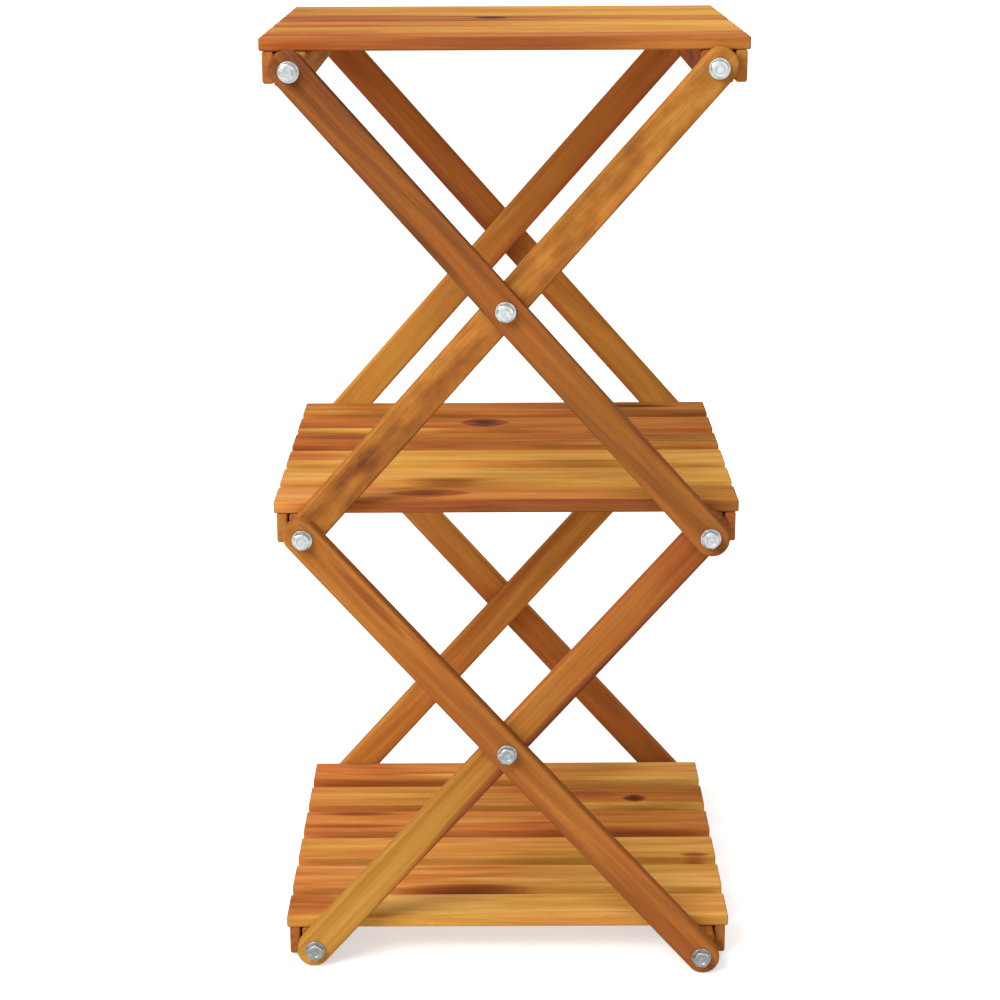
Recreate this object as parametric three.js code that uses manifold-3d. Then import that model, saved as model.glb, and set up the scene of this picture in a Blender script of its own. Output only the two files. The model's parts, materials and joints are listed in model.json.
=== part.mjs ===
import * as THREE from "three";
import { mergeVertices, toCreasedNormals } from "three/addons/utils/BufferGeometryUtils.js";
import Module from "manifold-3d";

// A folding three-tier plant stand in oiled hardwood. Two crossed pairs of arms stand one above the
// other at the front and again at the back. Square rails join front to back at the arms' ends, and a
// loose slatted shelf lies on each pair of rails. A batten under each end of a shelf hooks outside
// the rails, so the shelves keep the crossed arms from spreading and lift off to let them fold.
// X runs along the slats, Y from front to back and Z up. The origin is on the floor, at the centre.

// ---- Driving dimensions, in millimetres ----

const SHELF_LENGTH = 380;
const TIER_RISE = 371.8; // from one pair of rails to the next
const SLAT_COUNT = 6;
const SLAT_WIDTH = 43.5;
const SLAT_GAP = 15.8;
const SLAT_THICKNESS = 10.4;
const BATTEN_THICKNESS = 9;
const BATTEN_INSET = 2.2; // from a slat's end to the batten's outer face
const BATTEN_SETBACK = 1; // from a shelf's front edge to the batten's end
const RAIL_SIZE = 25;
const ARM_WIDTH = 28;
const ARM_THICKNESS = 15;
const ARM_END_REACH = 2.5; // from the end pivot to the centre of the round end

const BOLT_DIAMETER = 8;
const HEAD_ACROSS_FLATS = 13;
const HEAD_HEIGHT = 5.3;
const HEAD_CROWN_DIAMETER = 12.2; // of the round face that the chamfer leaves
const HEAD_DIMPLE_DIAMETER = 6.4;
const HEAD_DIMPLE_DEPTH = 0.7;
const WASHER_RIM = 4.3; // how far a washer reaches past the bolt
const WASHER_THICKNESS = 1.6;
const SCREW_DEPTH = 45; // of a corner screw in the end of its rail
const SCREW_TAPER = 6;
const SCREW_POINT_DIAMETER = 1.2;
const BOLT_CHAMFER = 0.8;
const INSERT_COVER = 2.7; // wood left between an insert's pocket and the arm's inner face
const INSERT_WALL = 2;
const INSERT_CHAMFER = 0.7;

const BOARD_EASE = 2; // rounding along the slats and battens
const RAIL_EASE = 2.5;
const ARM_EASE = 2.5;
const END_EASE = 1.2; // rounding round a bar's ends

// ---- Clearances, in millimetres ----

const BATTEN_PLAY = 1.8; // batten to rail
const SHELF_PLAY = 1; // shelf to inner arm
const SEAT_GAP = 0.3; // shelf to rail, rail to arm and arm to washer
const ARM_GAP = 0.4; // inner arm to outer arm
const BORE_CLEARANCE = 0.3; // bolt to the hole that an arm turns on
const THREAD_CLEARANCE = 0.15; // bolt to the rail or insert that it is screwed into

// ---- Faceting ----

const BOARD_STEPS = 1; // two facets to each rounded corner
const ARM_STEPS = 6; // twelve facets to each round end
const EASE_STEPS = 2;
const BORE_SIDES = 16;
const SHANK_SIDES = 12;
const WASHER_SIDES = 18;
const HEAD_TURN_STEP = 0.4; // radians between one hexagon and the next, as spanners leave them
const CREASE_ANGLE = Math.PI / 5; // facets that meet at a sharper angle are shaded as an edge
const CUT_PAST = 1; // how far a cutter reaches out of what it cuts
const JOIN_DEPTH = 0.1; // how far two shapes that are joined sink into each other
const WELD_DISTANCE = 1e-4;

// ---- Worked out from the dimensions above ----

const SHELF_DEPTH = SLAT_COUNT * SLAT_WIDTH + (SLAT_COUNT - 1) * SLAT_GAP;
const PIVOT_SPAN = SHELF_LENGTH - 2 * (BATTEN_INSET + BATTEN_THICKNESS + BATTEN_PLAY) - RAIL_SIZE;
const ARM_PIVOT_LENGTH = Math.hypot(PIVOT_SPAN, TIER_RISE);
const ARM_TILT = Math.atan2(TIER_RISE, PIVOT_SPAN);
const PIVOT_HEIGHT = ARM_WIDTH / 2 + ARM_END_REACH * Math.sin(ARM_TILT);
const LEFT = -PIVOT_SPAN / 2;
const RIGHT = PIVOT_SPAN / 2;
const INSERT_LENGTH = ARM_THICKNESS - INSERT_COVER - SEAT_GAP;

const INNER_ARM_FACE = SHELF_DEPTH / 2 + SHELF_PLAY;
const OUTER_ARM_FACE = INNER_ARM_FACE + ARM_THICKNESS + ARM_GAP;
const INNER_WASHER_FACE = INNER_ARM_FACE + ARM_THICKNESS + SEAT_GAP;
const OUTER_WASHER_FACE = OUTER_ARM_FACE + ARM_THICKNESS + SEAT_GAP;

const FRONT = -1;
const BACK = 1;
const SIDES = [
  { side: FRONT, label: "front" },
  { side: BACK, label: "back" },
];

// What meets at each end of each level: which arms the rail carries, and so how long it is and how
// far out its screw heads lie.
const CORNERS = [
  { label: "bottom_left", x: LEFT, level: 0, railFace: INNER_ARM_FACE, washerFace: INNER_WASHER_FACE },
  { label: "bottom_right", x: RIGHT, level: 0, railFace: OUTER_ARM_FACE, washerFace: OUTER_WASHER_FACE },
  { label: "middle_left", x: LEFT, level: 1, railFace: INNER_ARM_FACE, washerFace: OUTER_WASHER_FACE },
  { label: "middle_right", x: RIGHT, level: 1, railFace: INNER_ARM_FACE, washerFace: OUTER_WASHER_FACE },
  { label: "top_left", x: LEFT, level: 2, railFace: OUTER_ARM_FACE, washerFace: OUTER_WASHER_FACE },
  { label: "top_right", x: RIGHT, level: 2, railFace: INNER_ARM_FACE, washerFace: INNER_WASHER_FACE },
];
const SCISSORS = [
  { label: "lower", level: 0.5 },
  { label: "upper", level: 1.5 },
];
const SHELVES = [
  { label: "bottom", level: 0 },
  { label: "middle", level: 1 },
  { label: "top", level: 2 },
];

const levelHeight = (level) => PIVOT_HEIGHT + level * TIER_RISE;

// ---- Materials ----

const wood = (color) => new THREE.MeshStandardMaterial({ color, roughness: 0.5, metalness: 0 });
const RED_WOOD = wood(0x9a5228);
const ORANGE_WOOD = wood(0xb56a2c);
const GOLD_WOOD = wood(0xc88a3a);
const SLAT_WOODS = [RED_WOOD, GOLD_WOOD, ORANGE_WOOD];
const ZINC = new THREE.MeshStandardMaterial({ color: 0xc9cacb, roughness: 0.32, metalness: 1 });
const BRASS = new THREE.MeshStandardMaterial({ color: 0xb08d4a, roughness: 0.4, metalness: 1 });

// ---- Joining and cutting ----

const wasm = await Module();
wasm.setup();

function solidOf(geometry) {
  const bare = new THREE.BufferGeometry();
  bare.setAttribute("position", geometry.getAttribute("position"));
  bare.setIndex(geometry.index);
  const merged = mergeVertices(bare, WELD_DISTANCE);
  return new wasm.Manifold(
    new wasm.Mesh({
      numProp: 3,
      vertProperties: new Float32Array(merged.attributes.position.array),
      triVerts: new Uint32Array(merged.index.array),
    }),
  );
}

function geometryOf(solid) {
  const { vertProperties, triVerts } = solid.getMesh();
  const geometry = new THREE.BufferGeometry();
  geometry.setAttribute("position", new THREE.BufferAttribute(vertProperties, 3));
  geometry.setIndex(new THREE.BufferAttribute(triVerts, 1));
  return geometry;
}

// ---- Shapes that several pieces share ----

// A rectangle about the origin with round corners.
function roundedRectangle(width, height, radius) {
  const x = width / 2 - radius;
  const y = height / 2 - radius;
  const shape = new THREE.Shape();
  shape.absarc(x, y, radius, 0, Math.PI / 2);
  shape.absarc(-x, y, radius, Math.PI / 2, Math.PI);
  shape.absarc(-x, -y, radius, Math.PI, 1.5 * Math.PI);
  shape.absarc(x, -y, radius, 1.5 * Math.PI, 2 * Math.PI);
  return shape;
}

// An outline drawn out along Z about the origin, with all the edges of its ends rounded.
function easedExtrusion(shape, depth, ease, curveSegments) {
  const geometry = new THREE.ExtrudeGeometry(shape, {
    depth: depth - 2 * ease,
    curveSegments,
    bevelThickness: ease,
    bevelSize: ease,
    bevelOffset: -ease,
    bevelSegments: EASE_STEPS,
  });
  return geometry.translate(0, 0, ease - depth / 2);
}

// A round plug along Y from one depth to another, to cut a hole with.
function plug(radius, from, to, x = 0) {
  const geometry = new THREE.CylinderGeometry(radius, radius, to - from, BORE_SIDES);
  return solidOf(geometry.translate(x, (from + to) / 2, 0));
}

// A profile of [radius, height] points turned about Y.
function turned(profile, sides) {
  const points = profile.map(([radius, y]) => new THREE.Vector2(radius, y));
  return new THREE.LatheGeometry(points, sides);
}

// ---- The pieces ----

// A slat along X, with the middle of its underside at the origin.
function slatGeometry() {
  const section = roundedRectangle(SLAT_THICKNESS, SLAT_WIDTH, BOARD_EASE);
  const bar = easedExtrusion(section, SHELF_LENGTH, END_EASE, BOARD_STEPS);
  return bar.rotateY(Math.PI / 2).translate(0, 0, SLAT_THICKNESS / 2);
}

// A batten along Y, with the middle of its top face at the origin. It is as tall as the rails.
function battenGeometry() {
  const section = roundedRectangle(BATTEN_THICKNESS, RAIL_SIZE, BOARD_EASE);
  const bar = easedExtrusion(section, SHELF_DEPTH - 2 * BATTEN_SETBACK, END_EASE, BOARD_STEPS);
  return bar.rotateX(Math.PI / 2).translate(0, 0, -RAIL_SIZE / 2);
}

// A rail along Y, centred on its pivots, with a blind screw hole in each end.
function railGeometry(reach) {
  const section = roundedRectangle(RAIL_SIZE, RAIL_SIZE, RAIL_EASE);
  const bar = easedExtrusion(section, 2 * reach, END_EASE, BOARD_STEPS).rotateX(Math.PI / 2);
  const holeRadius = BOLT_DIAMETER / 2 + THREAD_CLEARANCE;
  const holeBottom = reach - SCREW_DEPTH - THREAD_CLEARANCE;
  const backHole = plug(holeRadius, holeBottom, reach + CUT_PAST);
  const frontHole = plug(holeRadius, -reach - CUT_PAST, -holeBottom);
  return geometryOf(solidOf(bar).subtract(backHole).subtract(frontHole));
}

// An arm along X, centred on its middle pivot, with round ends.
function armBar() {
  const end = ARM_PIVOT_LENGTH / 2 + ARM_END_REACH;
  const shape = new THREE.Shape();
  shape.absarc(end, 0, ARM_WIDTH / 2, -Math.PI / 2, Math.PI / 2);
  shape.absarc(-end, 0, ARM_WIDTH / 2, Math.PI / 2, 1.5 * Math.PI);
  const bar = easedExtrusion(shape, ARM_THICKNESS, ARM_EASE, ARM_STEPS).rotateX(Math.PI / 2);
  return solidOf(bar);
}

// The hole right through an arm that lets it turn on a bolt.
function armBore(x) {
  return plug(BOLT_DIAMETER / 2 + BORE_CLEARANCE, -ARM_THICKNESS, ARM_THICKNESS, x);
}

function outerArmGeometry() {
  const bores = [-ARM_PIVOT_LENGTH / 2, 0, ARM_PIVOT_LENGTH / 2].map(armBore);
  return geometryOf(bores.reduce((arm, bore) => arm.subtract(bore), armBar()));
}

// An inner arm is bored at its ends only. In the middle, a pocket in its front holds the threaded
// insert, so nothing shows on the face towards the shelves.
function innerArmGeometry() {
  const bores = [-ARM_PIVOT_LENGTH / 2, ARM_PIVOT_LENGTH / 2].map(armBore);
  const face = -ARM_THICKNESS / 2;
  const radius = BOLT_DIAMETER / 2 + THREAD_CLEARANCE + INSERT_WALL + THREAD_CLEARANCE;
  const pocket = plug(radius, face - CUT_PAST, face + INSERT_LENGTH + SEAT_GAP);
  return geometryOf([...bores, pocket].reduce((arm, hole) => arm.subtract(hole), armBar()));
}

// The sleeve nut in an inner arm, along +Y from its mouth, with its edges chamfered.
function insertGeometry() {
  const bore = BOLT_DIAMETER / 2 + THREAD_CLEARANCE;
  const outside = bore + INSERT_WALL;
  const profile = [
    [bore, 0],
    [outside - INSERT_CHAMFER, 0],
    [outside, INSERT_CHAMFER],
    [outside, INSERT_LENGTH - INSERT_CHAMFER],
    [outside - INSERT_CHAMFER, INSERT_LENGTH],
    [bore, INSERT_LENGTH],
    [bore, 0],
  ];
  return turned(profile, BORE_SIDES);
}

// A hexagon head with its washer and shank. The washer's underside is at the origin, the head
// stands towards -Y and the shank runs along +Y.
function boltGeometry(length, taper, pointDiameter) {
  return geometryOf(boltHead().add(boltWasher()).add(boltShank(length, taper, pointDiameter)));
}

const cornerScrewGeometry = (length) => boltGeometry(length, SCREW_TAPER, SCREW_POINT_DIAMETER);
const crossingBoltGeometry = (length) =>
  boltGeometry(length, BOLT_CHAMFER, BOLT_DIAMETER - 2 * BOLT_CHAMFER);

// The head is a hexagonal bar with its corners turned off at 30 degrees and a dimple on top.
function boltHead() {
  const base = JOIN_DEPTH - WASHER_THICKNESS;
  const top = -WASHER_THICKNESS - HEAD_HEIGHT;
  const corner = HEAD_ACROSS_FLATS / 2 / Math.cos(Math.PI / 6);
  const bar = new THREE.CylinderGeometry(corner, corner, base - top, 6);
  bar.translate(0, (base + top) / 2, 0);
  const crown = HEAD_CROWN_DIAMETER / 2;
  const skirt = corner + CUT_PAST;
  const chamfer = [
    [0, top],
    [crown, top],
    [skirt, top + (skirt - crown) * Math.tan(Math.PI / 6)],
    [skirt, base + CUT_PAST],
    [0, base + CUT_PAST],
  ];
  const dimple = [
    [0, top - CUT_PAST],
    [HEAD_DIMPLE_DIAMETER / 2, top - CUT_PAST],
    [HEAD_DIMPLE_DIAMETER / 2, top],
    [HEAD_DIMPLE_DIAMETER / 4, top + HEAD_DIMPLE_DEPTH],
    [0, top + HEAD_DIMPLE_DEPTH],
  ];
  const turnedBar = solidOf(bar).intersect(solidOf(turned(chamfer, WASHER_SIDES)));
  return turnedBar.subtract(solidOf(turned(dimple, SHANK_SIDES)));
}

function boltWasher() {
  const rim = BOLT_DIAMETER / 2 + WASHER_RIM;
  const edge = WASHER_THICKNESS / 4;
  const profile = [
    [0, -WASHER_THICKNESS],
    [rim - edge, -WASHER_THICKNESS],
    [rim, -WASHER_THICKNESS + edge],
    [rim, 0],
    [0, 0],
  ];
  return solidOf(turned(profile, WASHER_SIDES));
}

function boltShank(length, taper, pointDiameter) {
  const profile = [
    [0, -JOIN_DEPTH],
    [BOLT_DIAMETER / 2, -JOIN_DEPTH],
    [BOLT_DIAMETER / 2, length - taper],
    [pointDiameter / 2, length],
    [0, length],
  ];
  return solidOf(turned(profile, SHANK_SIDES));
}

// ---- The assembly ----

function place(parent, name, geometry, material, x, y, z) {
  const mesh = new THREE.Mesh(toCreasedNormals(geometry, CREASE_ANGLE), material);
  mesh.name = name;
  mesh.position.set(x, y, z);
  parent.add(mesh);
  return mesh;
}

// A bolt through the front or the back, turned about its own axis as it was left by the spanner.
function placeBolt(parent, name, geometry, side, washerFace, turn) {
  const bolt = place(parent, name, geometry, ZINC, 0, side * washerFace, 0);
  bolt.rotation.set(side === BACK ? Math.PI : 0, -side * turn, 0);
}

// A rail with the screw in each of its ends, about the pivots' axis. The arms turn on the screws.
function corner({ label, x, level, railFace, washerFace }, index) {
  const group = new THREE.Group();
  group.position.set(x, 0, levelHeight(level));
  const railEnd = railFace - SEAT_GAP;
  place(group, "rail_" + label, railGeometry(railEnd), ORANGE_WOOD, 0, 0, 0);
  const screw = cornerScrewGeometry(washerFace - railEnd + SCREW_DEPTH);
  SIDES.forEach(({ side, label: sideLabel }) => {
    const name = "pivot_screw_" + label + "_" + sideLabel;
    placeBolt(group, name, screw, side, washerFace, index * HEAD_TURN_STEP);
  });
  return group;
}

// Two crossed arms at the front and two at the back, about their middle pivots. The outer arms lean
// to the left and the inner ones to the right. A crossing bolt passes the outer arm and ends in the
// insert, so it stays with the inner arm, which is turned over at the back to face its pocket out.
function scissor({ label, level }, index) {
  const group = new THREE.Group();
  group.position.z = levelHeight(level);
  const innerCentre = INNER_ARM_FACE + ARM_THICKNESS / 2;
  const outerCentre = OUTER_ARM_FACE + ARM_THICKNESS / 2;
  const mouth = INNER_ARM_FACE + ARM_THICKNESS;
  const boltReach = OUTER_WASHER_FACE - mouth + INSERT_LENGTH - THREAD_CLEARANCE;
  const bolt = crossingBoltGeometry(boltReach);
  const turn = (CORNERS.length + index) * HEAD_TURN_STEP;
  SIDES.forEach(({ side, label: sideLabel }) => {
    const named = (piece) => label + "_" + piece + "_" + sideLabel;
    const flip = side === BACK ? Math.PI : 0;
    const outer = place(group, named("outer_arm"), OUTER_ARM, RED_WOOD, 0, side * outerCentre, 0);
    outer.rotation.y = ARM_TILT;
    const inner = place(group, named("inner_arm"), INNER_ARM, GOLD_WOOD, 0, side * innerCentre, 0);
    inner.rotation.y = -ARM_TILT;
    inner.rotateX(flip);
    place(group, named("threaded_insert"), INSERT, BRASS, 0, side * mouth, 0).rotation.x = flip;
    placeBolt(group, named("crossing_bolt"), bolt, side, OUTER_WASHER_FACE, turn);
  });
  return group;
}

// A shelf, about the middle of the plane where its slats lie on its battens.
function shelf({ label, level }) {
  const group = new THREE.Group();
  group.position.z = levelHeight(level) + RAIL_SIZE / 2 + SEAT_GAP;
  const battenX = SHELF_LENGTH / 2 - BATTEN_INSET - BATTEN_THICKNESS / 2;
  for (let i = 0; i < SLAT_COUNT; i += 1) {
    const y = -SHELF_DEPTH / 2 + SLAT_WIDTH / 2 + i * (SLAT_WIDTH + SLAT_GAP);
    const material = SLAT_WOODS[(i + level) % SLAT_WOODS.length];
    place(group, label + "_shelf_slat_" + (i + 1), SLAT, material, 0, y, 0);
  }
  place(group, label + "_shelf_batten_left", BATTEN, ORANGE_WOOD, -battenX, 0, 0);
  place(group, label + "_shelf_batten_right", BATTEN, GOLD_WOOD, battenX, 0, 0);
  return group;
}

const SLAT = slatGeometry();
const BATTEN = battenGeometry();
const OUTER_ARM = outerArmGeometry();
const INNER_ARM = innerArmGeometry();
const INSERT = insertGeometry();

const stand = new THREE.Group();
stand.name = "plant_stand";
stand.add(...CORNERS.map(corner), ...SCISSORS.map(scissor), ...SHELVES.map(shelf));

export default stand;
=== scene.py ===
"""Looks of a folding three-tier plant stand in oiled acacia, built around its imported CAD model.

Every wooden bar, screw and bolt of the CAD model is modelled again with finer edges, real threads and
grain of its own, in the place that the frame gives. The threaded inserts stay as packed. The small
screws that hold the slats to the battens are added. Lengths are in metres.
"""

import json
import logging
import math
from collections.abc import Callable, Sequence
from dataclasses import dataclass
from enum import Enum
from functools import partial, reduce

import bmesh
import bpy
from mathutils import Euler, Matrix, Vector


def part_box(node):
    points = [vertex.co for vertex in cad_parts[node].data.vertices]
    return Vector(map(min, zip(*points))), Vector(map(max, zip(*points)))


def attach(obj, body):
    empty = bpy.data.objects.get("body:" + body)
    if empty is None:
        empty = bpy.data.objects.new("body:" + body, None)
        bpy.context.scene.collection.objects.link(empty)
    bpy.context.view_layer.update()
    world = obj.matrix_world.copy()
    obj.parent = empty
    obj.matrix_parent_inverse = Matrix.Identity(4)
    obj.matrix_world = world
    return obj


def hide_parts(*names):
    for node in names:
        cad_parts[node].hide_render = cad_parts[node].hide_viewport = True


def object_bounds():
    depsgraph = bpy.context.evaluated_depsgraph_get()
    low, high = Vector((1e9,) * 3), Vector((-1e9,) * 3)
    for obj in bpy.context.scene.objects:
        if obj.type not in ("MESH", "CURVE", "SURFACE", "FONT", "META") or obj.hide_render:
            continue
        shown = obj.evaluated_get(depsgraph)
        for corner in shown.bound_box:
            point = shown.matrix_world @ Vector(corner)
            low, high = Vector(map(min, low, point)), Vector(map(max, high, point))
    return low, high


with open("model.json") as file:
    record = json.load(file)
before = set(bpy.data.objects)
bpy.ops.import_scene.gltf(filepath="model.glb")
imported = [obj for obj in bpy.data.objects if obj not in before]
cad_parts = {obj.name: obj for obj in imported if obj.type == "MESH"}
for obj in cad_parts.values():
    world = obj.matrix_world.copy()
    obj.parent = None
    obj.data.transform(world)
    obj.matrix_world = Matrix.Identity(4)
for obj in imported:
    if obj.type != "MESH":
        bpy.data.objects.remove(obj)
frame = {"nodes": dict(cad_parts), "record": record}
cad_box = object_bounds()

LOG = logging.getLogger("plant_stand")

MM = 0.001
QUARTER_TURN = math.pi / 2
SMOOTH_ANGLE = math.radians(32)  # edges sharper than this stay crisp
CUT_PAST = 1 * MM  # how far a cutter reaches out of what it cuts
MERGE_DISTANCE = 0.02 * MM
ALONG = 0.999  # the share of an edge's length along an axis, from which it is parallel to it
FACING = 0.99  # the share of a face's normal along Z, from which the face looks up or down
NOISE_SPAN = (0.3, 0.7)  # noise about 0.5 is eased between these
FLATTEN = 1e6  # a size that takes one coordinate out of a pattern

BODY_OF = {
    node: body for body, nodes in frame["record"]["behaviour"]["bodies"].items() for node in nodes
}

Value = float | Sequence[float] | bpy.types.NodeSocket
EdgeTest = Callable[[bmesh.types.BMEdge], bool]
FaceTest = Callable[[bmesh.types.BMFace], bool]


# ---------------------------------------------------------------------------------------------------
# Named choices
# ---------------------------------------------------------------------------------------------------


class Tier(Enum):
    """The three shelves and their rails, by the word in their node names."""

    BOTTOM = "bottom"
    MIDDLE = "middle"
    TOP = "top"


class Hand(Enum):
    """Left and right, as seen from the front."""

    LEFT = "left"
    RIGHT = "right"


class Side(Enum):
    """Front and back of the stand, with the direction that faces outwards there."""

    FRONT = "front"
    BACK = "back"

    @property
    def outwards(self) -> int:
        """-1 at the front and 1 at the back, along Y."""
        return -1 if self is Side.FRONT else 1


class Lean(Enum):
    """Which of two crossed arms: the outer one leans to the left and the inner one to the right."""

    OUTER = "outer"
    INNER = "inner"

    @property
    def sense(self) -> int:
        """The sign of the arm's turn about Y."""
        return 1 if self is Lean.OUTER else -1

    @property
    def low_hand(self) -> Hand:
        """The side that the arm's foot is on."""
        return Hand.RIGHT if self is Lean.OUTER else Hand.LEFT

    @property
    def high_hand(self) -> Hand:
        """The side that the arm's head is on."""
        return Hand.LEFT if self is Lean.OUTER else Hand.RIGHT


class Point(Enum):
    """How a screw ends: its thread's pitch and length, and its point's length and sharpness."""

    GIMLET = (2.8 * MM, 38 * MM, 6 * MM, 0.8)
    MACHINE = (1.25 * MM, 13 * MM, 0.8 * MM, 0.12)

    @property
    def pitch(self) -> float:
        """Distance from one turn of the thread to the next."""
        return self.value[0]

    @property
    def thread_length(self) -> float:
        """Length from the plain shank to the tip."""
        return self.value[1]

    @property
    def taper(self) -> float:
        """Length of the point."""
        return self.value[2]

    @property
    def sharpness(self) -> float:
        """How much of the core's radius the point loses, from 0 to 1."""
        return self.value[3]


class Tone(Enum):
    """Tones of oiled acacia from dark heartwood to pale sapwood, golden and reddish, in sRGB."""

    PLUM = (0x52351E, 0x562C1F)
    UMBER = (0x845728, 0x874A2A)
    RUSSET = (0xA8722F, 0xAC5F2F)
    AMBER = (0xC48B3D, 0xC67438)
    GOLD = (0xDAA14A, 0xDB8F4A)
    STRAW = (0xECBA62, 0xE9AC68)

    @property
    def golden(self) -> tuple[float, float, float, float]:
        """The tone in golden wood, as a linear colour with an alpha of 1."""
        return linear(self.value[0])

    @property
    def reddish(self) -> tuple[float, float, float, float]:
        """The tone in reddish wood, as a linear colour with an alpha of 1."""
        return linear(self.value[1])


class Grain(Enum):
    """The noises of the grain: scales along, across and through the board, detail and roughness."""

    WAVER = ((5, 26, 26), 1.5, 0.5)
    STREAKS = ((7, 120, 120), 3, 0.6)
    BANDS = ((5, 42, 42), 2, 0.5)
    FIBRES = ((14, 900, 900), 2, 0.5)
    DRIFT = ((6, 34, 34), 2, 0.5)
    CLOUDS = ((38, 60, 60), 4, 0.6)
    PORES = ((95, 2100, 2100), 1, 0.5)


class Part(Enum):
    """What is picked in edit mode, by the operator's word for it."""

    EDGES = "EDGE"
    FACES = "FACE"


def linear(code: int) -> tuple[float, float, float, float]:
    """Turns an sRGB colour code into a linear colour.

    Args:
        code: The colour as 0xRRGGBB.

    Returns:
        Red, green and blue as linear light, and an alpha of 1.
    """
    channels = [(code >> shift & 255) / 255 for shift in (16, 8, 0)]
    light = [c / 12.92 if c <= 0.04045 else ((c + 0.055) / 1.055) ** 2.4 for c in channels]
    return (*light, 1.0)


# ---------------------------------------------------------------------------------------------------
# Materials
# ---------------------------------------------------------------------------------------------------


class Sheet:
    """The node tree of one material, with short calls for the nodes that the finishes share."""

    def __init__(self, name: str) -> None:
        """Makes the material with its usual shader.

        Args:
            name: The material's name.
        """
        self.material = bpy.data.materials.new(name)
        self.material.use_nodes = True
        self.nodes = self.material.node_tree.nodes
        self.shader = next(n for n in self.nodes if n.type == "BSDF_PRINCIPLED")

    def feed(self, socket: bpy.types.NodeSocket, value: Value) -> None:
        """Links a socket to another, or sets it.

        Args:
            socket: The input to fill.
            value: An output to link it to, or the value that it takes.
        """
        if isinstance(value, bpy.types.NodeSocket):
            self.material.node_tree.links.new(value, socket)
        else:
            socket.default_value = value

    def add(self, kind: str, inputs: dict[str | int, Value], **settings: object) -> bpy.types.Node:
        """Adds a node.

        Args:
            kind: The node's class, without "ShaderNode".
            inputs: What each input takes, by its name or number.
            **settings: Properties of the node.

        Returns:
            The new node.
        """
        node = self.nodes.new("ShaderNode" + kind)
        for key, setting in settings.items():
            setattr(node, key, setting)
        for key, value in inputs.items():
            self.feed(node.inputs[key], value)
        return node

    def finish(self, inputs: dict[str, Value]) -> bpy.types.Material:
        """Fills the shader's inputs.

        Args:
            inputs: What each input takes, by its name.

        Returns:
            The finished material.
        """
        for key, value in inputs.items():
            self.feed(self.shader.inputs[key], value)
        return self.material

    def math(self, operation: str, *values: Value) -> bpy.types.NodeSocket:
        """One Math node with these values, as its output."""
        return self.add("Math", dict(enumerate(values)), operation=operation).outputs[0]

    def place(self, centre: Sequence[float], turn: Sequence[float] = (0, 0, 0)) -> bpy.types.NodeSocket:
        """Coordinates of the piece's own space about a centre and turned with a bar.

        Args:
            centre: The bar's middle, in the row frame.
            turn: The bar's turn as an XYZ Euler.

        Returns:
            The coordinates as a socket.
        """
        own = self.add("TexCoord", {}).outputs["Object"]
        return self.frame_at(own, centre, turn=turn)

    def frame_at(
        self,
        vector: bpy.types.NodeSocket,
        centre: Sequence[float],
        scale: Sequence[float] = (1, 1, 1),
        turn: Sequence[float] = (0, 0, 0),
    ) -> bpy.types.NodeSocket:
        """Coordinates about a centre, turned back and divided by a size."""
        inputs = {"Vector": vector, "Location": centre, "Rotation": turn, "Scale": scale}
        return self.add("Mapping", inputs, vector_type="TEXTURE").outputs[0]

    def stretch(self, vector: bpy.types.NodeSocket, scale: Sequence[float]) -> bpy.types.NodeSocket:
        """The vector times a scale for each axis."""
        return self.add("Mapping", {"Vector": vector, "Scale": scale}, vector_type="POINT").outputs[0]

    def noise(
        self, vector: bpy.types.NodeSocket, scale: float = 1, detail: float = 3, roughness: float = 0.5
    ) -> bpy.types.NodeSocket:
        """Noise in three dimensions, about 0.5."""
        inputs = {"Vector": vector, "Scale": scale, "Detail": detail, "Roughness": roughness}
        return self.add("TexNoise", inputs).outputs[0]

    def grain(self, vector: bpy.types.NodeSocket, kind: Grain) -> bpy.types.NodeSocket:
        """One of the noises of the grain, about 0.5."""
        scale, detail, roughness = kind.value
        return self.noise(self.stretch(vector, scale), detail=detail, roughness=roughness)

    def noise_along(self, distance: Value, scale: float, detail: float = 2) -> bpy.types.NodeSocket:
        """Noise in one dimension, about 0.5."""
        inputs = {"W": distance, "Scale": scale, "Detail": detail}
        return self.add("TexNoise", inputs, noise_dimensions="1D").outputs[0]

    def ease(
        self, value: Value, low: float, high: float, to_low: float = 0, to_high: float = 1
    ) -> bpy.types.NodeSocket:
        """The value from a range to another one, eased at its ends and held beyond them."""
        inputs = {0: value, 1: low, 2: high, 3: to_low, 4: to_high}
        return self.add("MapRange", inputs, interpolation_type="SMOOTHSTEP").outputs[0]

    def spread(self, noise: Value, low: float, high: float) -> bpy.types.NodeSocket:
        """Noise about 0.5 turned into a value between two others."""
        return self.ease(noise, *NOISE_SPAN, low, high)

    def sway(self, noise: Value, amount: float) -> bpy.types.NodeSocket:
        """Noise about 0.5 turned into a change of up to the amount, up or down."""
        return self.spread(noise, -amount, amount)

    def total(self, *values: Value) -> bpy.types.NodeSocket:
        """The sum of the values."""
        return reduce(partial(self.math, "ADD"), values)

    def spot(
        self,
        vector: bpy.types.NodeSocket,
        centre: Sequence[float],
        length: float,
        width: float,
        core: float = 0,
    ) -> bpy.types.NodeSocket:
        """A soft lens with pointed ends along X: 1 at its middle and 0 past its reach.

        Args:
            vector: The coordinates that it lies in.
            centre: Its middle.
            length: Its reach along X.
            width: Its reach along Y.
            core: The share of its reach that is 1 throughout.

        Returns:
            The lens as a socket.
        """
        near = self.add("SeparateXYZ", {0: self.frame_at(vector, centre, scale=(length, width, 1))})
        along, across = near.outputs[0], self.math("ABSOLUTE", near.outputs[1])
        return self.ease(self.math("MULTIPLY_ADD", along, along, across), core, 1, 1, 0)

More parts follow.
